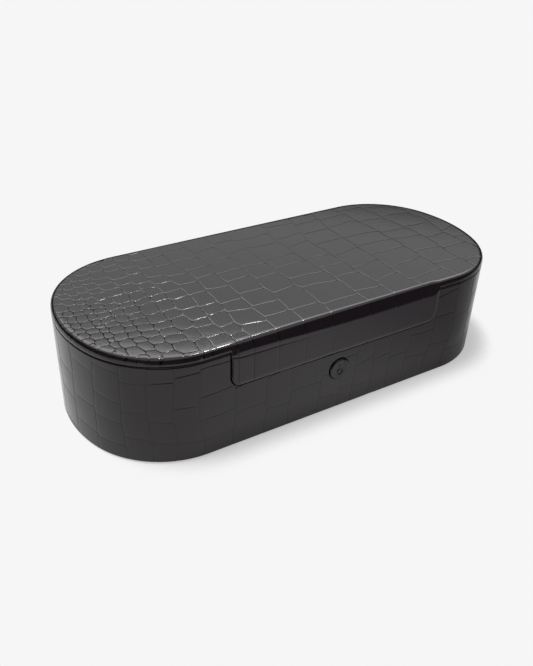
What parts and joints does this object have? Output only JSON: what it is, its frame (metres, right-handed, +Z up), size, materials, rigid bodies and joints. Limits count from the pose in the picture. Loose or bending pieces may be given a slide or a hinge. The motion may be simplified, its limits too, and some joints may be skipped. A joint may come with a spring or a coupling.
{
  "type": "uv sanitizer box",
  "caption": "Long round-ended box in embossed black leather with a hinged lid, folding magnetic flap and push button; UV-C lamps light a mirrored chamber for a phone.",
  "frame": {"origin": "middle of the footprint, on the plane that the feet stand on", "axes": "+X along the box to the right as seen from the button, +Y to the hinges at the back, +Z up through the lid"},
  "size_m": [0.229, 0.1038, 0.055],
  "materials": {
    "embossed_leather": "black patent leather with an embossed scale pattern",
    "lining": "plain black leather, matt",
    "case_plastic": "moulded black, fine texture",
    "fibre_board": "stiff board",
    "mirror_plastic": "metallised mirror coat on moulded plastic",
    "quartz": "clear polished",
    "circuit_board": "green solder mask",
    "lamp_ceramic": "ceramic lamp bodies",
    "black_plastic": "moulded black",
    "button_plastic": "satin black",
    "clear_plastic": "milky clear",
    "foot_rubber": "matt black",
    "nickel": "nickel plated",
    "steel": "bright steel"
  },
  "bodies": {
    "base": {"base_shell": "case_plastic", "base_wrap": "embossed_leather", "bottom_cover": "case_plastic", "cover_screws": "steel", "rubber_feet": "foot_rubber", "chamber_tray": "mirror_plastic", "lamp_board": "circuit_board", "uv_lamps": "lamp_ceramic", "quartz_window": "quartz", "control_board": "circuit_board", "control_screws": "steel", "control_chips": "black_plastic", "charging_inlet": "steel", "switch_board": "circuit_board", "switch_screws": "steel", "tact_switch": "black_plastic", "catch_magnets": "nickel", "lid_sensor": "black_plastic", "hinge_base_leaves": "steel", "hinge_base_screws": "steel", "hinge_pins": "steel"},
    "lid": {"lid_board": "case_plastic", "lid_wrap": "embossed_leather", "lid_mirror": "mirror_plastic", "sensor_magnet": "nickel", "hinge_lid_leaves": "steel", "hinge_lid_screws": "steel"},
    "flap": {"flap_leather": "embossed_leather", "flap_board": "fibre_board", "flap_lining": "lining", "flap_magnets": "nickel"},
    "power_button": {"button_cap": "button_plastic", "button_light_pipe": "clear_plastic", "switch_plunger": "black_plastic"}
  },
  "joints": [
    {"name": "lid_hinge", "type": "hinge", "parent": "base", "child": "lid", "pos_m": [0, 0.0508, 0.0512], "axis": [-1, 0, 0], "range_deg": [0, 100]},
    {"name": "flap_fold", "type": "hinge", "parent": "lid", "child": "flap", "pos_m": [0, -0.0511, 0.05125], "axis": [-1, 0, 0], "range_deg": [0, 75], "stiffness_Nm_per_rad": 0.02},
    {"name": "button_press", "type": "slide", "parent": "base", "child": "power_button", "axis": [0, 1, 0], "range_m": [0, 0.0006], "stiffness_N_per_m": 300}
  ]
}
